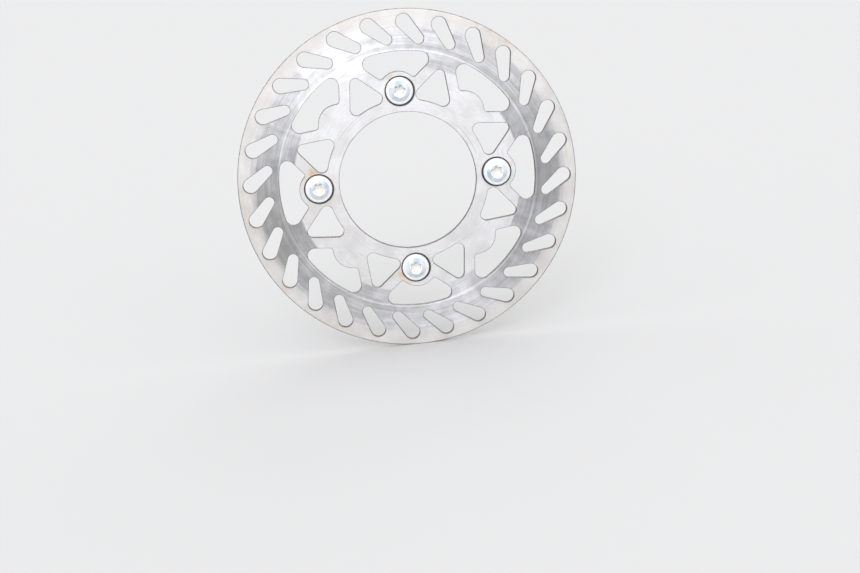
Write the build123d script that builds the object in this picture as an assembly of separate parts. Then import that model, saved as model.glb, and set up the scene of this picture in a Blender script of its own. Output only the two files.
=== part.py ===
from build123d import *
from math import cos, radians, sin, tan
import os

# A one-piece slotted motorcycle brake disc with the four bolts that hold it to its wheel hub.
# Millimetres. The disc stands upright: +Y runs along the wheel's axle into the hub, +Z is up, and the
# bolt heads face -Y. The origin is the middle of the bolt circle, on the back face that the hub meets.
# Angles are seen from the bolt-head side, anticlockwise from +X.

# The plate
OUTER_DIAMETER = 190.0
BORE_DIAMETER = 77.0
THICKNESS = 3.5
RIM_BREAK = 0.4
EDGE_BREAK = 0.25

# The bolt holes, each with a round seat that the bolt's head sits in
BOLT_CIRCLE_DIAMETER = 100.0
BOLT_ANGLES = {"bolt_top": 90.0, "bolt_right": 0.0, "bolt_bottom": -90.0, "bolt_left": 180.0}
BOLT_HOLE_DIAMETER = 8.6
SEAT_DIAMETER = 16.6
SEAT_DEPTH = 1.0

# The windows inside the braking band. Each has a boss below it, and every second boss has a bolt hole.
WINDOW_COUNT = 8
WINDOW_CLOCKING = 0.7
WINDOW_OUTER_RADIUS = 72.0
WINDOW_END_RADIUS = 4.4
WINDOW_DIP_RADIUS = 1.9
BOSS_RADIUS = 11.0
# A window's two flanks are straight lines that pass the axle at FLANK_REACH. With the window on top,
# they rise outward at FLANK_SLOPE from the horizontal.
FLANK_SLOPE = 39.5
FLANK_REACH = 37.85

# The triangles between the windows, whose sides run beside the windows' flanks
WEB_WIDTH = 6.15
TRIANGLE_BASE_RADIUS = 45.35
TRIANGLE_CORNER_RADIUS = 3.5
TRIANGLE_TIP_RADIUS = 3.1

# The slots in the braking band, each wider at its outer end and leaning clockwise towards the bore
SLOT_COUNT = 28
SLOT_CLOCKING = -3.55
SLOT_LEAN = 5.9
SLOT_OUTER_END = 87.8
SLOT_INNER_END = 78.7
SLOT_OUTER_END_RADIUS = 4.2
SLOT_INNER_END_RADIUS = 3.0

# The bolts: M8, with a plain shoulder in the disc's hole, a rim round a low dome and a six-lobed socket
SHOULDER_DIAMETER = 8.4
SHANK_DIAMETER = 8.0
SHANK_LENGTH = 17.5
SHANK_TIP_CHAMFER = 1.0
HEAD_DIAMETER = 15.2
RIM_HEIGHT = 2.0
RIM_CHAMFER = 0.4
DOME_DIAMETER = 12.0
DOME_RISE = 1.4
SOCKET_DEPTH = 2.4
SOCKET_CORE_RADIUS = 2.6
LOBE_COUNT = 6
LOBE_RADIUS = 0.75

# Worked out from the above
OUTER_RADIUS = OUTER_DIAMETER / 2
BOLT_CIRCLE_RADIUS = BOLT_CIRCLE_DIAMETER / 2
WINDOW_PITCH = 360 / WINDOW_COUNT
HEAD_SEAT = THICKNESS - SEAT_DEPTH
HEAD_TOP = HEAD_SEAT + RIM_HEIGHT + DOME_RISE

# Outlines are drawn as seen from the bolt-head side. The plane's normal comes out of that side.
FACE_PLANE = Plane(origin=(0, 0, 0), x_dir=(1, 0, 0), z_dir=(0, -1, 0))


def at_polar(radius, angle):
    """A place in the plane of the disc's face."""
    return Pos(radius * cos(radians(angle)), radius * sin(radians(angle)))


def ring_of(outline, count, clocking):
    """Copies of an outline, evenly spaced round the axle, the first turned by the clocking angle."""
    return [Rot(0, 0, clocking + 360 / count * i) * outline for i in range(count)]


def round_corners(outline, radius_from_axle, on_circle, fillet_radius):
    """Rounds an outline's corners that lie on a circle round the axle, or else those that don't."""
    corners = [
        corner
        for corner in outline.vertices()
        if (abs(Vector(corner.X, corner.Y).length - radius_from_axle) < 0.01) == on_circle
    ]
    return fillet(corners, fillet_radius)


def window_outline():
    """The window over a boss on +Y: a wedge inside the braking band, less the boss."""
    apex = FLANK_REACH / cos(radians(FLANK_SLOPE))
    run = OUTER_RADIUS * cos(radians(FLANK_SLOPE))
    rise = OUTER_RADIUS * sin(radians(FLANK_SLOPE))
    wedge = make_face(Polyline((0, apex), (run, apex + rise), (-run, apex + rise), close=True))
    boss = Pos(0, BOLT_CIRCLE_RADIUS) * Circle(BOSS_RADIUS)
    outline = (wedge & Circle(WINDOW_OUTER_RADIUS)) - boss
    outline = round_corners(outline, WINDOW_OUTER_RADIUS, False, WINDOW_DIP_RADIUS)
    return round_corners(outline, WINDOW_OUTER_RADIUS, True, WINDOW_END_RADIUS)


def triangle_outline():
    """The triangle with its tip outward on +Y, a web's width from the windows on both sides of it."""
    half_angle = radians(90 - FLANK_SLOPE - WINDOW_PITCH / 2)
    tip = (FLANK_REACH - WEB_WIDTH) / sin(half_angle)
    foot = TRIANGLE_BASE_RADIUS * cos(half_angle)
    half_foot = (tip - foot) * tan(half_angle)
    wedge = make_face(Polyline((0, tip), (half_foot, foot), (-half_foot, foot), close=True))
    outline = wedge - Circle(TRIANGLE_BASE_RADIUS)
    outline = round_corners(outline, TRIANGLE_BASE_RADIUS, True, TRIANGLE_CORNER_RADIUS)
    return fillet(outline.vertices().sort_by(Axis.Y)[-1], TRIANGLE_TIP_RADIUS)


def slot_outline():
    """The slot with its outer end on +Y: two end circles and the straight sides that touch both."""
    outer_end = at_polar(SLOT_OUTER_END, 90) * Circle(SLOT_OUTER_END_RADIUS)
    inner_end = at_polar(SLOT_INNER_END, 90 - SLOT_LEAN) * Circle(SLOT_INNER_END_RADIUS)
    return make_hull(outer_end.edges() + inner_end.edges())


def face_edges(disc, rim):
    """The edges of the disc's two faces: those of its rim, or else those of its holes."""
    faces = disc.faces().filter_by(Axis.Y).sort_by(Axis.Y)
    if rim:
        wires = [faces[0].outer_wire(), faces[-1].outer_wire()]
    else:
        wires = faces[0].inner_wires() + faces[-1].inner_wires()
    return [edge for wire in wires for edge in wire.edges()]


def make_disc():
    """The braking band and its carrier, cut from one plate, with every edge broken."""
    bolt_places = [at_polar(BOLT_CIRCLE_RADIUS, angle) for angle in BOLT_ANGLES.values()]
    cutouts = [Circle(BORE_DIAMETER / 2)]
    cutouts += [place * Circle(BOLT_HOLE_DIAMETER / 2) for place in bolt_places]
    cutouts += ring_of(window_outline(), WINDOW_COUNT, WINDOW_CLOCKING)
    cutouts += ring_of(triangle_outline(), WINDOW_COUNT, WINDOW_CLOCKING + WINDOW_PITCH / 2)
    cutouts += ring_of(slot_outline(), SLOT_COUNT, SLOT_CLOCKING)
    disc = extrude(FACE_PLANE * (Circle(OUTER_RADIUS) - cutouts), THICKNESS)
    for place in bolt_places:
        seat = FACE_PLANE.offset(HEAD_SEAT) * place * Circle(SEAT_DIAMETER / 2)
        disc -= extrude(seat, SEAT_DEPTH)
    disc = chamfer(face_edges(disc, rim=True), RIM_BREAK)
    return chamfer(face_edges(disc, rim=False), EDGE_BREAK)


def bolt_shank():
    """The shoulder that fills the disc's hole, and the shank below it that screws into the hub."""
    shoulder = extrude(Circle(SHOULDER_DIAMETER / 2), HEAD_SEAT)
    shank = extrude(Circle(SHANK_DIAMETER / 2), -SHANK_LENGTH)
    shank = chamfer(shank.edges().group_by(Axis.Z)[0], SHANK_TIP_CHAMFER)
    return shoulder + shank


def bolt_head():
    """The flat rim and the low dome inside it."""
    rim = Pos(0, 0, HEAD_SEAT) * extrude(Circle(HEAD_DIAMETER / 2), RIM_HEIGHT)
    rim = chamfer(rim.edges().group_by(Axis.Z)[-1], RIM_CHAMFER)
    sphere_radius = ((DOME_DIAMETER / 2) ** 2 + DOME_RISE**2) / (2 * DOME_RISE)
    dome = Pos(0, 0, HEAD_TOP - sphere_radius) * Sphere(sphere_radius)
    dome &= Pos(0, 0, HEAD_TOP - DOME_RISE / 2) * Box(HEAD_DIAMETER, HEAD_DIAMETER, DOME_RISE)
    return rim + dome


def bolt_socket():
    """The six-lobed socket sunk into the top of the head."""
    lobe = Pos(SOCKET_CORE_RADIUS) * Circle(LOBE_RADIUS)
    outline = Circle(SOCKET_CORE_RADIUS) + ring_of(lobe, LOBE_COUNT, 0)
    return Pos(0, 0, HEAD_TOP - SOCKET_DEPTH) * extrude(outline, SOCKET_DEPTH)


os.makedirs("parts", exist_ok=True)
export_step(make_disc(), "parts/brake_disc.step")
# The bolt stands on the back face's plane, at the axle, with its shank pointing into the hub.
bolt = bolt_shank() + bolt_head() - bolt_socket()
for name, angle in BOLT_ANGLES.items():
    export_step(FACE_PLANE * at_polar(BOLT_CIRCLE_RADIUS, angle) * bolt, f"parts/{name}.step")
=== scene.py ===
import math

import bpy
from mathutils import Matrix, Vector


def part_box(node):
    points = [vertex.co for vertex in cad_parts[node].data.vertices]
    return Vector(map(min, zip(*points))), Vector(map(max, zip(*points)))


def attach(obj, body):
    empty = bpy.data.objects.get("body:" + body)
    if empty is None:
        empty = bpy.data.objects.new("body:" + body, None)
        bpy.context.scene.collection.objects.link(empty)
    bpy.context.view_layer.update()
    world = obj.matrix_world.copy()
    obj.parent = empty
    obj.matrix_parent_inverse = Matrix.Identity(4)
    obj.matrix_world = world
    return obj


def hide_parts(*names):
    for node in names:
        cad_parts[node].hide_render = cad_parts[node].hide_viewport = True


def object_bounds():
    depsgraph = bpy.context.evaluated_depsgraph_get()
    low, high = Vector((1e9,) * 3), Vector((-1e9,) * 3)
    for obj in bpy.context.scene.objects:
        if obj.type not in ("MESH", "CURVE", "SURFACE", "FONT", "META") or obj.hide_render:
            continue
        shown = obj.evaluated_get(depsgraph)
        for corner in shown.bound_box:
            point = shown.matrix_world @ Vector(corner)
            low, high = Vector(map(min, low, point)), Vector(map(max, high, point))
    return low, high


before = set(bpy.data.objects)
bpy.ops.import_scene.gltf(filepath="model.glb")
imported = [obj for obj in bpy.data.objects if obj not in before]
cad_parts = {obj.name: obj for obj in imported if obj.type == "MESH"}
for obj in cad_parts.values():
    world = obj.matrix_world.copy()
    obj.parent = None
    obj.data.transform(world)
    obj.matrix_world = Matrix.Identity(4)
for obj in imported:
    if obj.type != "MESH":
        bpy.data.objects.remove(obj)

# The looks of a slotted motorcycle brake disc and the four bolts that hold it to its wheel hub.
# The frame is in metres: the bolt heads face -Y and +Z is up. Sizes below are in millimetres, and MM
# turns them into metres. Places on the disc are (x, z), seen from the bolt heads' side, and angles are in
# degrees from +X.

MM = 0.001
cad_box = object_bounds()
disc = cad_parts["brake_disc"]

# ---------------------------------------------------------------- the disc's surface

# The pads sweep a band round the axle. It starts at SWEPT_INNER, and at its outer side it fades out from
# the first radius to the second. The outer side wanders in and out by SWEPT_WANDER.
SWEPT_INNER = 63.6
SWEPT_INNER_FADE = 0.6
SWEPT_OUTER = (83.5, 90.5)
SWEPT_WANDER = 1.2
# The unswept steel turns from the carrier's colours to the rim's between these radii.
RIM_START = (76.0, 80.0)

# Grinding marks are noise drawn out round the axle: how fast it changes across and along, and its detail.
GRINDING_NOISES = {"coarse": (0.9, 2.2, 3.0), "fine": (4.0, 5.5, 3.0), "finest": (16.0, 22.0, 2.0)}
# Noise that is the same every way: how fast it changes, its detail and its roughness
EVEN_NOISES = {"blotches": (0.10, 3.0, 0.5), "shades": (0.13, 3.0, 0.6), "patches": (0.55, 5.0, 0.65),
               "specks": (1.3, 2.0, 0.5), "grain": (1.6, 4.0, 0.5)}
# Between these levels of its noise, each of these comes in, from none to full.
PATCHES_RISE = (0.38, 0.66)
SHADES_RISE = (0.34, 0.66)
STREAKS_RISE = (0.35, 0.65)
SPECKS_RISE = (0.70, 0.76)
# The steel's three zones. The base goes from one colour to the other as a noise rises from low to high.
# The marks lie over it: noise, low, high, how strong they are and their colour.
BAND = {"base": ("coarse", 0.34, 0.68, (0.39, 0.39, 0.405), (0.50, 0.50, 0.515)),
        "marks": (("fine", 0.50, 0.72, 0.33, (0.66, 0.66, 0.67)),
                  ("fine", 0.46, 0.30, 0.33, (0.345, 0.345, 0.36)))}
CARRIER = {"base": ("blotches", 0.35, 0.70, (0.54, 0.54, 0.547), (0.475, 0.467, 0.47)),
           "marks": (("fine", 0.54, 0.70, 0.60, (0.385, 0.385, 0.395)),
                     ("finest", 0.56, 0.70, 0.65, (0.36, 0.36, 0.37)))}
RIM = {"base": ("blotches", 0.30, 0.70, (0.515, 0.505, 0.498), (0.455, 0.442, 0.432)),
       "marks": (("fine", 0.54, 0.72, 0.40, (0.36, 0.34, 0.33)),
                 ("finest", 0.58, 0.70, 0.40, (0.34, 0.32, 0.31)))}
# The band is this much darker to lighter in broad shades.
BAND_SHADES = (0.88, 1.10)
# Rings in the band: from, to, and how much lighter or darker they are. The first, lightest ring is a
# painted highlight; the others the pads wore into the band. Each fades out over the same width on both
# sides of its edges.
BAND_WEAR_RINGS_AND_HIGHLIGHT = ((71.8, 72.8, 0.29), (73.6, 75.4, -0.06), (76.2, 77.6, 0.04), (79.0, 80.4, -0.05),
              (82.0, 82.6, 0.08))
BAND_RING_FADE = 0.35

# Scratches that follow the disc round: radius, middle angle, half angle and half width
ARCS = ((44.9, 131.0, 17.0, 0.16), (43.3, 127.0, 10.0, 0.12), (46.8, 136.0, 8.0, 0.10),
        (93.6, 15.0, 34.0, 0.08), (52.0, 222.0, 14.0, 0.10), (58.5, 31.0, 9.0, 0.10),
        (41.0, 30.0, 16.0, 0.22))
# Short scratches: x, z, the angle that they run at, half length and half width
SCRATCHES = ((-42.5, 41.0, -50.0, 2.4, 0.16), (67.5, 23.5, 60.0, 3.2, 0.14),
             (69.5, 21.0, 35.0, 2.2, 0.16), (-2.5, 40.5, 88.0, 3.2, 0.10),
             (27.0, -37.0, 20.0, 4.0, 0.10), (34.0, 33.0, -30.0, 3.5, 0.09),
             (-84.0, 12.0, 75.0, 3.5, 0.10), (47.0, -12.0, 62.0, 2.8, 0.09))
# A short scratch strays this far to each side of its line. It comes in between these shares of its half
# length and of its half width.
SCRATCH_WANDER = 0.15
SCRATCH_ENDS = (1.0, 0.4)
SCRATCH_SIDES = (2.0, 0.5)
SCRATCH_STRENGTH = 0.5
SCRATCH_COLOUR = (0.26, 0.26, 0.27)

# Stains on the front face: x, z, how far they reach and how strong they are. There are dull patches of the
# swept band, which are partly painted shade of its darker sectors, a thin tan film and rust spots.
DULL_AND_SHADE_PATCHES = ((57.0, -57.0, 42.0, 0.75), (81.0, -9.0, 22.0, 0.5))
FILM = ((57.0, 71.0, 17.0, 0.55), (47.0, 80.0, 9.0, 0.4), (-52.0, -8.0, 26.0, 0.42),
        (-28.0, -52.0, 22.0, 0.38), (-42.0, -30.0, 17.0, 0.3), (-90.0, -20.0, 42.0, 0.45),
        (-50.0, -80.0, 26.0, 0.42), (-66.0, 66.0, 16.0, 0.2))
RUST = ((-52.5, 9.0, 4.5, 0.95), (-46.5, 12.0, 4.0, 0.95), (-57.0, 5.5, 4.0, 0.4), (-42.5, 6.0, 3.5, 0.25),
        (-7.5, -53.0, 4.5, 0.95), (-6.5, -58.0, 5.5, 0.6), (-5.0, 58.5, 3.0, 0.5), (62.0, 72.5, 3.5, 0.7),
        (46.5, 83.5, 2.5, 0.6), (52.0, 79.5, 3.5, 0.45), (-46.0, -12.0, 4.0, 0.45),
        (-76.0, -55.0, 4.0, 0.4), (-30.0, 89.5, 4.0, 0.3), (8.0, -66.5, 4.0, 0.3))
# A stain is full inside this share of its reach. Its patches go from weaker to stronger. Stains come in
# from the first y to the second, so that the back stays clean.
STAIN_CORE = 0.15
STAIN_PATCHES = (0.4, 1.0)
STAIN_DEPTHS = (-1.0, -3.0)
DULL_AND_SHADE_COLOUR = (0.26, 0.255, 0.26)
FILM_COLOUR = (0.38, 0.355, 0.315)
RUST_COLOUR = (0.56, 0.40, 0.25)
# Small brown specks, which come in between these radii
SPECK_RADII = (60.0, 84.0)
SPECK_STRENGTH = 0.55
SPECK_COLOUR = (0.33, 0.22, 0.14)

# The broken edges and the cut walls come in as the surface turns away from the axle: 1 faces along it
# and 0 faces across it. Both are painted dark, as painted shade. The turned outer edge is the wall outside
# a radius.
BROKEN_EDGE_FACING = (0.98, 0.85)
WALL_FACING = (0.6, 0.3)
BROKEN_EDGE_SHADE_PATCHES = (0.55, 0.95)
BROKEN_EDGE_SHADE_COLOUR = (0.16, 0.145, 0.135)
WALL_SHADE_COLOURS = ((0.10, 0.09, 0.085), (0.20, 0.17, 0.15))
OUTER_EDGE_START = (94.0, 94.5)
OUTER_EDGE_COLOURS = ((0.34, 0.31, 0.29), (0.52, 0.49, 0.47))
TURNING_MARKS_PER_MM = 6.0
# The gap round each bolt's head is painted dark, as grime and painted shade: it comes in from one distance
# to another from the hole's middle, and from one y to another down its seat
GAP_GRIME_AND_SHADE_REACH = (8.4, 8.1)
GAP_GRIME_AND_SHADE_DEPTHS = (-2.1, -2.4)
GAP_GRIME_AND_SHADE_COLOUR = (0.075, 0.068, 0.065)

# The grinding stands up by how much of each noise, then the bump's strength and its depth
STEEL_RELIEF = {"fine": 0.6, "finest": 0.3, "grain": 0.3}
STEEL_BUMP = (0.25, 0.05)
STEEL_ROUGHNESS = 0.6
BAND_ROUGHNESS = 0.42
RUST_ROUGHER = 0.3
WALL_ROUGHER = 0.2
BAND_ANISOTROPY = 0.6
# Highlights fan out in rays, because the grinding marks wander a little from true circles: how fast the
# rays change round the disc and their detail, and how far they turn the grinding's direction
RAYS = (14.0, 3.0)
RAY_TURN = 0.45

# ---------------------------------------------------------------- the bolts

# How far each socket is turned, how far the bolt sits off its hole's middle (x, z), and where the blue
# patch is on its dome
BOLTS = {"bolt_top": (12, -0.22, 0.18, 95), "bolt_right": (41, 0.18, 0.02, 190),
         "bolt_bottom": (27, -0.24, 0.04, 80), "bolt_left": (3, -0.16, 0.12, 25)}

# Heights are over the disc's back face, towards the bolt's head. Each ring of points round a bolt has
# COLUMNS of them.
COLUMNS = 96
SHANK_LENGTH = 17.5
SHANK_TIP_RADIUS = 3.1
THREAD_RADIUS = 3.98
THREAD_DEPTH = 0.74
THREAD_PITCH = 1.25
# The thread runs out between these two depths below the disc.
THREAD_RUN_OUT = (0.6, 2.2)
# The thread's crest ends and its root starts this far from the crest's middle, in pitches.
THREAD_FLANK = (1 / 16, 3 / 8)
RINGS_PER_TURN = 14
HEAD_RADIUS = 7.55
HEAD_FOOT = 2.5
HEAD_FOOT_ROUND = 0.2
NECK_ROUND = 0.3
RIM_TOP = 4.5
RIM_ROUND = 0.45
DOME_RADIUS = 6.0
DOME_STEPS = 12
HEAD_TOP = 5.9
COUNTERSINK_RADIUS = 3.65
COUNTERSINK_SLOPE = 0.22
SOCKET_MIDDLE_RADIUS = 2.92
SOCKET_LOBE = 0.42
SOCKET_LOBES = 6
SOCKET_FLOOR = 3.5
SOCKET_BREAK = 0.14
# Corners sharper than this stay sharp.
SHARP_ANGLE = 40

# How far a bolt's place in the frame moves its noises, so that no two bolts look alike
NOISE_SHIFT = (300.0, 300.0, 300.0)
# How fast the noises on a bolt change, and their detail
ZINC_PATCHES = (0.45, 3.0)
ZINC_GRAIN = (2.5, 4.0)
# How fast the turned marks on the head change outward
TURNED_MARKS = 9.0
# The dome's own colour lies between two radii, with a soft edge.
DOME_BAND = (3.4, 5.75)
DOME_BAND_FADE = 0.3
# The blue patch's middle, as a radius and a height, and its reach from its edge inward
TINT_RADIUS = 4.5
TINT_HEIGHT = 5.1
TINT_REACH = (3.6, 0.6)
# How strong the patch is, from one end of its grain to the other. The fainter blue patches come in between
# two levels of their noise.
TINT_STRENGTHS = (0.38, 0.85)
FAINT_TINT_RISE = (0.42, 0.66)
FAINT_TINT_STRENGTH = 0.36
# The zinc's second tone comes in between these levels of its noise.
SECOND_TONE_RISE = (0.6, 0.4)
SECOND_TONE_STRENGTH = 0.5
# Two tones of zinc, the bluer dome, the blue patch, painted light in the socket, and dirt with painted
# shade in the socket and oil with painted shade in the thread's roots
ZINC_COLOURS = ((0.64, 0.65, 0.66), (0.63, 0.63, 0.59))
DOME_COLOUR = (0.60, 0.625, 0.66)
DOME_STRENGTH = 0.8
TINT_COLOUR = (0.27, 0.39, 0.54)
SOCKET_PAINTED_LIGHT_COLOUR = (0.74, 0.74, 0.72)
SOCKET_PAINTED_LIGHT_STRENGTH = 0.8
SOCKET_DIRT_AND_SHADE_COLOUR = (0.46, 0.44, 0.38)
SOCKET_DIRT_AND_SHADE_STRENGTHS = (0.0, 0.5)
THREAD_ROOT_OIL_AND_SHADE_COLOUR = (0.30, 0.29, 0.28)
THREAD_ROOT_OIL_AND_SHADE_STRENGTH = 0.7
ZINC_ROUGHNESS = (0.72, 0.88)
# How much of the turned marks and of the grain stands up, then the bump's strength and its depth
ZINC_RELIEF = (0.6, 0.5)
ZINC_BUMP = (0.3, 0.05)

# ---------------------------------------------------------------- the studio and the camera

# The floor's radius is in metres.
FLOOR_RADIUS = 80.0
FLOOR_COLOUR = (0.38, 0.38, 0.382)
# How bright the empty world looks to the camera, so that the floor's far edge doesn't show
HORIZON = 0.852
# How bright the world is by height, which goes from -1 to 1: each step is two heights, and the brightness
# that it adds below the first and above the second. A dark belt a little below level gives the metal
# something dark to mirror.
WORLD_STEPS = ((-0.62, -0.34, 0.9, 0.03), (-0.14, 0.02, 0.0, 1.5), (0.1, 0.6, 0.0, 0.2))
# Far soft lights: the way to each from the disc, how wide it looks, its strength and its colour
SUNS = {"key": ((-0.20, -0.86, 0.42), 28, 2.25, (0.98, 0.985, 1.035)),
        "fill_right": ((0.36, -0.86, 0.34), 40, 0.7, (1, 1, 1)),
        "fill_left": ((-0.45, -0.88, 0.16), 40, 0.3, (1, 1, 1)),
        "back": ((0.25, 0.85, 0.45), 40, 0.9, (1, 1, 1))}

# The camera's place in metres, its turn in degrees, and its lens and sensor
CAMERA_PLACE = (-0.03925, -0.79495, 0.12103)
CAMERA_TURN = (76.944, 5.074, -4.507)
CAMERA_LENS = 59.685
CAMERA_SENSOR = 36


def face_place(node):
    """Where a CAD node's middle is on the disc's face, as (x, z)."""
    low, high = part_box(node)
    return (low.x + high.x) / 2 / MM, (low.z + high.z) / 2 / MM


# ---------------------------------------------------------------- materials

class Shader:
    """A material's node tree. Its methods take numbers or sockets, and most give back a socket."""

    def __init__(self, name):
        self.material = bpy.data.materials.new(name)
        self.material.use_nodes = True
        self.tree = self.material.node_tree
        self.surface = self.tree.nodes["Principled BSDF"]

    def put(self, socket, value):
        """Links a socket into another, or sets its number or colour."""
        if isinstance(value, bpy.types.NodeSocket):
            self.tree.links.new(value, socket)
        elif isinstance(value, tuple) and len(value) == 3 and socket.type == "RGBA":
            socket.default_value = (*value, 1)
        else:
            socket.default_value = value

    def set(self, name, value):
        """Gives one of the surface's own sockets a socket, a number or a colour."""
        self.put(self.surface.inputs[name], value)

    def node(self, kind, inputs=(), **settings):
        """A new node with its settings and the inputs named by their position."""
        made = self.tree.nodes.new("ShaderNode" + kind)
        for name, value in settings.items():
            setattr(made, name, value)
        for place, value in enumerate(inputs):
            if value is not None:
                self.put(made.inputs[place], value)
        return made

    def math(self, operation, *values):
        return self.node("Math", values, operation=operation).outputs[0]

    def times(self, *values):
        """The product of two values or more."""
        product = values[0]
        for value in values[1:]:
            product = self.math("MULTIPLY", product, value)
        return product

    def vector(self, x, y, z):
        return self.node("CombineXYZ", (x, y, z)).outputs[0]

    def vector_math(self, operation, *values):
        made = self.node("VectorMath", values, operation=operation)
        return made.outputs["Value" if operation in ("LENGTH", "DISTANCE", "DOT_PRODUCT") else "Vector"]

    def step(self, value, low, high):
        """0 below low, 1 above high, smooth between. With low above high it falls instead."""
        made = self.node("MapRange", (value, low, high, 0.0, 1.0), interpolation_type="SMOOTHSTEP")
        return made.outputs[0]

    def within(self, value, low, high, soft):
        """1 between low and high, 0 outside, with soft edges."""
        rise = self.step(value, low - soft, low + soft)
        fall = self.step(value, high + soft, high - soft)
        return self.times(rise, fall)

    def noise(self, vector, scale, detail=2.0, roughness=0.5):
        return self.node("TexNoise", (vector, None, scale, detail, roughness)).outputs[0]

    def mix(self, amount, first, second):
        """A colour from first to second."""
        made = self.node("Mix", data_type="RGBA")
        self.put(made.inputs[0], amount)
        self.put(made.inputs[6], first)
        self.put(made.inputs[7], second)
        return made.outputs[2]

    def blend(self, amount, first, second):
        """A number from first to second."""
        return self.node("Mix", (amount, None, first, second), data_type="FLOAT").outputs[0]

    def scaled(self, vector, level):
        """A colour made lighter or darker, or a vector made longer or shorter."""
        made = self.node("VectorMath", (vector,), operation="SCALE")
        self.put(made.inputs["Scale"], level)
        return made.outputs[0]

    def millimetres(self):
        """The place on the object, in millimetres."""
        return self.scaled(self.node("TexCoord").outputs["Object"], 1 / MM)

    def split(self, vector):
        """A vector's x, y and z."""
        return list(self.node("SeparateXYZ", (vector,)).outputs)

    def bump(self, height, strength, distance_mm):
        made = self.node("Bump")
        for name, value in (("Strength", strength), ("Distance", distance_mm * MM), ("Height", height)):
            self.put(made.inputs[name], value)
        return made.outputs[0]


class DiscShader(Shader):
    """A shader with what the disc's layers share: where a point is, and every noise by its name."""

    def __init__(self, name):
        super().__init__(name)
        place = self.millimetres()
        self.x, self.y, self.z = self.split(place)
        self.radius = self.vector_math("LENGTH", self.vector(self.x, 0.0, self.z))
        # The way out from the axle, one unit long
        self.out_x = self.math("DIVIDE", self.x, self.radius)
        self.out_z = self.math("DIVIDE", self.z, self.radius)
        self.noises = {key: self.noise(place, *settings) for key, settings in EVEN_NOISES.items()}
        for key, (across, along, detail) in GRINDING_NOISES.items():
            drawn_out = self.vector(self.times(self.radius, across), self.times(self.out_x, along),
                                    self.times(self.out_z, along))
            self.noises[key] = self.noise(drawn_out, 1.0, detail)
        self.patches = self.step(self.noises["patches"], *PATCHES_RISE)

    def away(self, at_x, at_z):
        """The way from a place on the face, as two numbers."""
        return self.math("SUBTRACT", self.x, at_x), self.math("SUBTRACT", self.z, at_z)

    def distance(self, at_x, at_z):
        return self.vector_math("LENGTH", self.vector(*self.away(at_x, at_z), 0.0))

    def strongest(self, amounts):
        """The largest of some amounts at each place."""
        most = 0.0
        for amount in amounts:
            most = self.math("MAXIMUM", most, amount)
        return most

    def zone_colour(self, zone):
        """A zone's base colour with its grinding marks."""
        noise, low, high, first, second = zone["base"]
        colour = self.mix(self.step(self.noises[noise], low, high), first, second)
        for noise, low, high, strength, mark_colour in zone["marks"]:
            shown = self.times(self.step(self.noises[noise], low, high), strength)
            colour = self.mix(shown, colour, mark_colour)
        return colour


def swept_by_pads(s):
    """1 where the pads have swept the disc, and 0 elsewhere."""
    inner = s.step(s.radius, SWEPT_INNER - SWEPT_INNER_FADE, SWEPT_INNER + SWEPT_INNER_FADE)
    wandering = s.math("ADD", s.radius, s.blend(s.noises["coarse"], -SWEPT_WANDER, SWEPT_WANDER))
    return s.times(inner, s.step(wandering, SWEPT_OUTER[1], SWEPT_OUTER[0]))


def ground_steel(s, swept):
    """The colour of the swept band, the carrier inside it and the rim outside it."""
    level = s.blend(s.step(s.noises["shades"], *SHADES_RISE), *BAND_SHADES)
    # The band's rings: the first, lightest one is painted highlight, the others are wear.
    for low, high, amount in BAND_WEAR_RINGS_AND_HIGHLIGHT:
        level = s.math("MULTIPLY_ADD", s.within(s.radius, low, high, BAND_RING_FADE), amount, level)
    band = s.scaled(s.zone_colour(BAND), level)
    unswept = s.mix(s.step(s.radius, *RIM_START), s.zone_colour(CARRIER), s.zone_colour(RIM))
    return s.mix(swept, unswept, band)


def scratch(s, at_x, at_z, way, half_length, half_width):
    """How much of one short scratch is at each place."""
    off_x, off_z = s.away(at_x, at_z)
    cos, sin = math.cos(math.radians(way)), math.sin(math.radians(way))
    along = s.math("ADD", s.times(off_x, cos), s.times(off_z, sin))
    across = s.math("SUBTRACT", s.times(off_z, cos), s.times(off_x, sin))
    across = s.math("ADD", across, s.blend(s.noises["grain"], -SCRATCH_WANDER, SCRATCH_WANDER))
    ends = s.step(s.math("ABSOLUTE", along), *(half_length * share for share in SCRATCH_ENDS))
    sides = s.step(s.math("ABSOLUTE", across), *(half_width * share for share in SCRATCH_SIDES))
    return s.times(ends, sides)


def arc_scratch(s, at_radius, angle, half_angle, half_width):
    """How much of one scratch that follows the disc round is at each place."""
    cos, sin = math.cos(math.radians(angle)), math.sin(math.radians(angle))
    nearness = s.math("ADD", s.times(s.out_x, cos), s.times(s.out_z, sin))
    reach = math.cos(math.radians(half_angle))
    return s.times(s.step(nearness, reach, (1 + reach) / 2),
                   s.within(s.radius, at_radius - half_width, at_radius + half_width, half_width))


def stained(s, spots, patches):
    """How stained each place on the front is, by the strongest spot there, in patches."""
    amount = s.strongest(s.times(s.step(s.distance(at_x, at_z), reach, reach * STAIN_CORE), strength)
                         for at_x, at_z, reach, strength in spots)
    on_front = s.step(s.y, *STAIN_DEPTHS)
    return s.times(amount, s.blend(patches, *STAIN_PATCHES), on_front)


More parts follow.
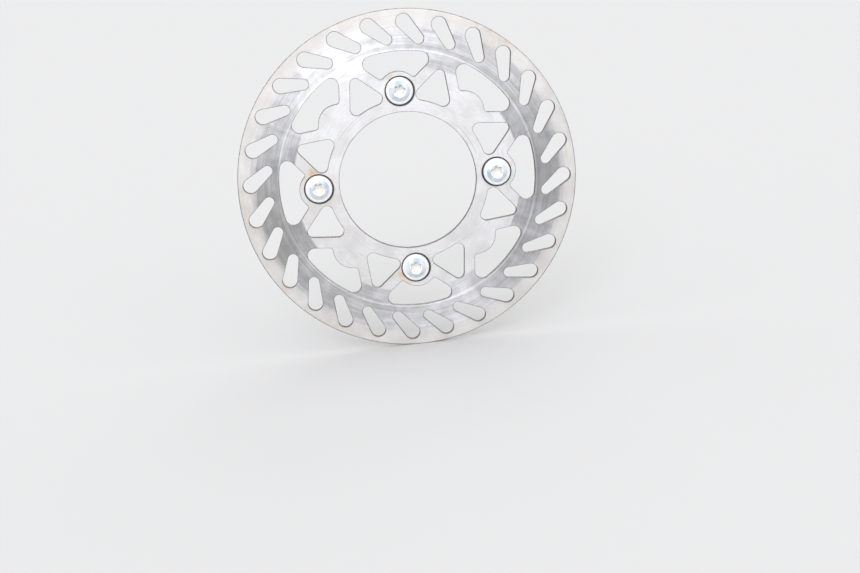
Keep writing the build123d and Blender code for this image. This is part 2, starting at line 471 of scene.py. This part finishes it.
def cut_edges(s, colour):
    """Paints shade on the broken edges and the cut walls, and adds the turned outer edge. Gives back what
    is wall, too.
    """
    facing = s.math("ABSOLUTE", s.split(s.node("NewGeometry").outputs["True Normal"])[1])
    # Painted shade: the broken edges are darkened, in patches.
    broken_edge_shade = s.times(s.step(facing, *BROKEN_EDGE_FACING), s.blend(s.patches, *BROKEN_EDGE_SHADE_PATCHES))
    colour = s.mix(broken_edge_shade, colour, BROKEN_EDGE_SHADE_COLOUR)
    wall = s.step(facing, *WALL_FACING)
    turned = s.noise(s.vector(0.0, s.times(s.y, TURNING_MARKS_PER_MM), 0.0), 1.0, 3.0)
    # Painted shade: the cut walls inside the disc are painted dark.
    inner_wall_shade = s.mix(s.patches, *WALL_SHADE_COLOURS)
    outer_edge = s.mix(s.step(turned, *STREAKS_RISE), *OUTER_EDGE_COLOURS)
    wall_colour = s.mix(s.step(s.radius, *OUTER_EDGE_START), inner_wall_shade, outer_edge)
    return s.mix(wall, colour, wall_colour), wall


def disc_steel():
    """Ground stainless steel: a swept braking band, a pale carrier and light rust, with painted shade on
    the cut walls, the broken edges, the bolts' gaps and parts of the band, and a painted highlight ring in
    the band.
    """
    s = DiscShader("disc_steel_worn")
    swept = swept_by_pads(s)
    colour = ground_steel(s, swept)
    marks = [scratch(s, *one) for one in SCRATCHES] + [arc_scratch(s, *one) for one in ARCS]
    colour = s.mix(s.times(s.strongest(marks), SCRATCH_STRENGTH), colour, SCRATCH_COLOUR)

    # Dull patches of the band, partly painted shade of its darker sectors.
    dull_and_shade = stained(s, DULL_AND_SHADE_PATCHES, s.step(s.noises["fine"], *STREAKS_RISE))
    colour = s.mix(s.times(dull_and_shade, swept), colour, DULL_AND_SHADE_COLOUR)
    colour = s.mix(stained(s, FILM, s.patches), colour, FILM_COLOUR)
    rust = stained(s, RUST, s.patches)
    colour = s.mix(rust, colour, RUST_COLOUR)
    specks = s.times(s.step(s.noises["specks"], *SPECKS_RISE), s.step(s.radius, *SPECK_RADII))
    colour = s.mix(s.times(specks, SPECK_STRENGTH), colour, SPECK_COLOUR)

    colour, wall = cut_edges(s, colour)
    # Grime and painted shade: the gap round each bolt's head is painted dark.
    grime_and_shade = s.strongest(s.step(s.distance(*face_place(node)), *GAP_GRIME_AND_SHADE_REACH) for node in BOLTS)
    colour = s.mix(s.times(grime_and_shade, s.step(s.y, *GAP_GRIME_AND_SHADE_DEPTHS)), colour, GAP_GRIME_AND_SHADE_COLOUR)

    s.set("Base Color", colour)
    s.set("Metallic", 1.0)
    rougher = s.math("MAXIMUM", s.times(rust, RUST_ROUGHER), s.times(wall, WALL_ROUGHER))
    s.set("Roughness", s.math("ADD", s.blend(swept, STEEL_ROUGHNESS, BAND_ROUGHNESS), rougher))
    s.set("Anisotropic", s.times(swept, BAND_ANISOTROPY))
    rays = s.blend(s.noise(s.vector(s.out_x, s.out_z, 0.0), *RAYS), -RAY_TURN, RAY_TURN)
    tangent_x = s.math("MULTIPLY_ADD", s.out_z, s.times(rays, -1.0), s.out_x)
    tangent_z = s.math("MULTIPLY_ADD", s.out_x, rays, s.out_z)
    s.set("Tangent", s.vector(tangent_x, 0.0, tangent_z))
    height = 0.0
    for key, share in STEEL_RELIEF.items():
        height = s.math("MULTIPLY_ADD", s.noises[key], share, height)
    s.set("Normal", s.bump(height, *STEEL_BUMP))
    return s.material


def bolt_zinc(node, patch_angle):
    """Bright zinc plating with a pale blue patch and turned marks, painted light in the socket, and dirt,
    oil and painted shade deeper in the socket and in the thread's roots.
    """
    s = Shader(node + "_zinc")
    place = s.millimetres()
    x, y, z = s.split(place)
    radius = s.vector_math("LENGTH", s.vector(x, y, 0.0))
    shift = s.vector_math("MULTIPLY", s.node("ObjectInfo").outputs["Location"], NOISE_SHIFT)
    own = s.vector_math("ADD", place, shift)
    patches = s.noise(own, *ZINC_PATCHES)
    grain = s.noise(own, *ZINC_GRAIN)
    turned = s.noise(s.vector(s.times(radius, TURNED_MARKS), z, 0.0), 1.0, 2.0)

    on_dome = s.within(radius, *DOME_BAND, DOME_BAND_FADE)
    patch_x = TINT_RADIUS * math.cos(math.radians(patch_angle))
    patch_y = TINT_RADIUS * math.sin(math.radians(patch_angle))
    from_patch = s.vector_math("DISTANCE", place, (patch_x, patch_y, TINT_HEIGHT))
    patch = s.times(s.step(from_patch, *TINT_REACH), s.blend(grain, *TINT_STRENGTHS))
    faint = s.times(s.step(patches, *FAINT_TINT_RISE), FAINT_TINT_STRENGTH)
    tint = s.times(s.math("MAXIMUM", patch, faint), on_dome)
    colour = s.mix(s.times(s.step(patches, *SECOND_TONE_RISE), SECOND_TONE_STRENGTH), *ZINC_COLOURS)
    colour = s.mix(s.times(on_dome, DOME_STRENGTH), colour, DOME_COLOUR)
    colour = s.mix(tint, colour, TINT_COLOUR)

    in_socket = s.times(s.step(radius, COUNTERSINK_RADIUS, COUNTERSINK_RADIUS - 0.3),
                        s.step(z, SOCKET_FLOOR - 0.5, SOCKET_FLOOR - 0.4))
    # Painted light: the socket is made brighter than the zinc round it.
    colour = s.mix(s.times(in_socket, SOCKET_PAINTED_LIGHT_STRENGTH), colour, SOCKET_PAINTED_LIGHT_COLOUR)
    # Dirt and painted shade: the socket grows darker with depth, in patches.
    depth = s.step(z, HEAD_TOP - 0.9, SOCKET_FLOOR)
    dirt_and_shade = s.times(in_socket, depth, s.blend(grain, *SOCKET_DIRT_AND_SHADE_STRENGTHS))
    colour = s.mix(dirt_and_shade, colour, SOCKET_DIRT_AND_SHADE_COLOUR)
    # Oil and painted shade: the thread's roots are darker.
    in_thread = s.times(s.step(z, 0.0, -0.5), s.step(radius, THREAD_RADIUS - 0.1, THREAD_RADIUS - 0.6))
    colour = s.mix(s.times(in_thread, THREAD_ROOT_OIL_AND_SHADE_STRENGTH), colour, THREAD_ROOT_OIL_AND_SHADE_COLOUR)

    s.set("Base Color", colour)
    s.set("Metallic", 1.0)
    s.set("Roughness", s.blend(grain, *ZINC_ROUGHNESS))
    height = s.math("MULTIPLY_ADD", turned, ZINC_RELIEF[0], s.times(grain, ZINC_RELIEF[1]))
    s.set("Normal", s.bump(height, *ZINC_BUMP))
    return s.material


# ---------------------------------------------------------------- meshes of the bolts

def ring(radius, height):
    """A closed ring of points round the bolt's axis. Both are functions of the angle, or numbers."""
    points = []
    for column in range(COLUMNS):
        angle = 2 * math.pi * column / COLUMNS
        out = radius(angle) if callable(radius) else radius
        up = height(angle) if callable(height) else height
        points.append((out * math.cos(angle) * MM, out * math.sin(angle) * MM, up * MM))
    return points


def arc(middle_radius, middle_height, radius, first, last, steps):
    """Rings along a quarter round or a fillet. The angles are from straight outward."""
    rings = []
    for step in range(steps + 1):
        angle = math.radians(first + (last - first) * step / steps)
        out = middle_radius + radius * math.cos(angle)
        rings.append(ring(out, middle_height + radius * math.sin(angle)))
    return rings


def ease(value, low, high):
    """0 below low, 1 above high, smooth between."""
    share = min(max((value - low) / (high - low), 0), 1)
    return share * share * (3 - 2 * share)


def thread_rings():
    """The right-hand thread, from the bolt's tip up to where it runs out at the disc."""
    count = round(SHANK_LENGTH / THREAD_PITCH * RINGS_PER_TURN)
    # The tip has a shallow centre mark inside its flat.
    rings = [ring(SHANK_TIP_RADIUS * 0.35, 0.45 - SHANK_LENGTH)]
    rings.append(ring(SHANK_TIP_RADIUS * 0.45, -SHANK_LENGTH))
    for index in range(count):
        height = SHANK_LENGTH * (index / count - 1)
        depth = THREAD_DEPTH * ease(-height, *THREAD_RUN_OUT)

        def radius(angle):
            turns = (height / THREAD_PITCH - angle / (2 * math.pi)) % 1
            groove = depth * ease(min(turns, 1 - turns), *THREAD_FLANK)
            return min(THREAD_RADIUS - groove, SHANK_TIP_RADIUS + height + SHANK_LENGTH)

        rings.append(ring(radius, height))
    return rings


def dome_height(radius):
    """The dome's height over the back face, at a radius from the bolt's axis."""
    rise = HEAD_TOP - RIM_TOP
    sphere = (DOME_RADIUS**2 + rise**2) / (2 * rise)
    return HEAD_TOP - sphere + math.sqrt(sphere**2 - radius**2)


def head_rings():
    """The plain neck in the disc's hole, the head's rim and the dome, up to the socket's countersink."""
    rings = [ring(THREAD_RADIUS, 0)]
    rings += arc(THREAD_RADIUS + NECK_ROUND, HEAD_FOOT - NECK_ROUND, NECK_ROUND, 180, 90, 4)
    rings += arc(HEAD_RADIUS - HEAD_FOOT_ROUND, HEAD_FOOT + HEAD_FOOT_ROUND, HEAD_FOOT_ROUND, -90, 0, 4)
    rings += arc(HEAD_RADIUS - RIM_ROUND, RIM_TOP - RIM_ROUND, RIM_ROUND, 0, 90, 6)
    rings += [ring(DOME_RADIUS + 0.25, RIM_TOP), ring(DOME_RADIUS + 0.05, RIM_TOP + 0.03)]
    for step in range(1, DOME_STEPS + 1):
        radius = DOME_RADIUS + (COUNTERSINK_RADIUS - DOME_RADIUS) * step / DOME_STEPS
        rings.append(ring(radius, dome_height(radius)))
    return rings


def socket_rings(turn):
    """The six-lobed socket, from its countersink down to its floor."""
    mouth = dome_height(COUNTERSINK_RADIUS) - 0.05
    mouth_radius = COUNTERSINK_RADIUS - 0.05

    def wall(inset):
        return lambda angle: (SOCKET_MIDDLE_RADIUS - inset
                              + SOCKET_LOBE * math.cos(SOCKET_LOBES * (angle - math.radians(turn))))

    def slope(inset):
        return lambda angle: mouth - COUNTERSINK_SLOPE * (COUNTERSINK_RADIUS - wall(inset)(angle))

    edge = wall(-SOCKET_BREAK)
    edge_height = slope(-SOCKET_BREAK)
    return [ring(mouth_radius, mouth),
            ring(lambda angle: (mouth_radius + edge(angle)) / 2,
                 lambda angle: (mouth + edge_height(angle)) / 2),
            ring(edge, edge_height),
            ring(wall(0), lambda angle: slope(0)(angle) - SOCKET_BREAK),
            ring(wall(0.05), SOCKET_FLOOR + 0.2),
            ring(wall(0.22), SOCKET_FLOOR),
            ring(SOCKET_MIDDLE_RADIUS * 0.5, SOCKET_FLOOR - 0.1),
            ring(SOCKET_MIDDLE_RADIUS * 0.2, SOCKET_FLOOR - 0.3)]


def make_bolt(node, turn, shift_x, shift_z, material):
    """A bolt with its real thread and socket, in the place of a CAD bolt."""
    rings = thread_rings() + head_rings() + socket_rings(turn)
    points = [point for one in rings for point in one]
    faces = [tuple(reversed(range(COLUMNS))), tuple(range(len(points) - COLUMNS, len(points)))]
    for row in range(len(rings) - 1):
        for column in range(COLUMNS):
            here = row * COLUMNS + column
            beside = row * COLUMNS + (column + 1) % COLUMNS
            faces.append((here, beside, beside + COLUMNS, here + COLUMNS))
    mesh = bpy.data.meshes.new(node + "_threaded")
    mesh.from_pydata(points, [], faces)
    mesh.shade_smooth()
    mesh.set_sharp_from_angle(angle=math.radians(SHARP_ANGLE))
    mesh.materials.append(material)
    bolt = bpy.data.objects.new(node + "_threaded", mesh)
    x, z = face_place(node)
    bolt.location = ((x + shift_x) * MM, 0, (z + shift_z) * MM)
    # The bolt's own +Z, from its tip to its head, turns to -Y.
    bolt.rotation_euler = (math.radians(90), 0, 0)
    bpy.context.scene.collection.objects.link(bolt)
    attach(bolt, "root")
    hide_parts(node)


# ---------------------------------------------------------------- studio and camera

def make_floor():
    """A wide round matt floor under the disc's rim."""
    bpy.ops.mesh.primitive_circle_add(vertices=128, radius=FLOOR_RADIUS, fill_type="NGON",
                                      location=(0, 0, cad_box[0].z))
    floor = bpy.context.object
    floor.name = "studio_floor"
    s = Shader("studio_floor")
    s.set("Base Color", FLOOR_COLOUR)
    s.set("Roughness", 0.8)
    s.set("Specular IOR Level", 0.0)
    floor.data.materials.append(s.material)
    floor.visible_glossy = False


def make_sun(name, towards, width, strength, colour):
    """A far soft light."""
    lamp = bpy.data.lights.new(name, "SUN")
    lamp.angle = math.radians(width)
    lamp.energy = strength
    lamp.color = colour
    made = bpy.data.objects.new(name, lamp)
    made.rotation_euler = Vector(towards).to_track_quat("Z", "Y").to_euler()
    bpy.context.scene.collection.objects.link(made)


def make_world():
    """Soft light from all round, in smooth steps of height, that looks plain to the camera."""
    world = bpy.data.worlds.new("studio")
    world.use_nodes = True
    bpy.context.scene.world = world
    tree = world.node_tree
    background = tree.nodes["Background"]
    direction = tree.nodes.new("ShaderNodeTexCoord").outputs["Generated"]
    split = tree.nodes.new("ShaderNodeSeparateXYZ")
    tree.links.new(direction, split.inputs[0])

    def ramp(low, high, at_low, at_high):
        """A smooth step of brightness over the height."""
        made = tree.nodes.new("ShaderNodeMapRange")
        made.interpolation_type = "SMOOTHSTEP"
        tree.links.new(split.outputs["Z"], made.inputs[0])
        for place, value in enumerate((low, high, at_low, at_high), 1):
            made.inputs[place].default_value = value
        return made.outputs[0]

    total = ramp(*WORLD_STEPS[0])
    for step in WORLD_STEPS[1:]:
        adding = tree.nodes.new("ShaderNodeMath")
        tree.links.new(total, adding.inputs[0])
        tree.links.new(ramp(*step), adding.inputs[1])
        total = adding.outputs[0]
    seen = tree.nodes.new("ShaderNodeMix")
    tree.links.new(tree.nodes.new("ShaderNodeLightPath").outputs["Is Camera Ray"], seen.inputs[0])
    tree.links.new(total, seen.inputs[2])
    seen.inputs[3].default_value = HORIZON
    tree.links.new(seen.outputs[0], background.inputs["Strength"])
    background.inputs["Color"].default_value = (1, 1, 1, 1)


def make_camera():
    lens = bpy.data.cameras.new("camera")
    lens.lens = CAMERA_LENS
    lens.sensor_width = CAMERA_SENSOR
    camera = bpy.data.objects.new("camera", lens)
    camera.location = CAMERA_PLACE
    camera.rotation_euler = [math.radians(turn) for turn in CAMERA_TURN]
    bpy.context.scene.collection.objects.link(camera)
    bpy.context.scene.camera = camera
    bpy.context.scene.view_settings.view_transform = "Standard"


disc.data.materials.clear()
disc.data.materials.append(disc_steel())
for node, (turn, shift_x, shift_z, patch_angle) in BOLTS.items():
    make_bolt(node, turn, shift_x, shift_z, bolt_zinc(node, patch_angle))
make_floor()
make_world()
for name, settings in SUNS.items():
    make_sun(name, *settings)
make_camera()
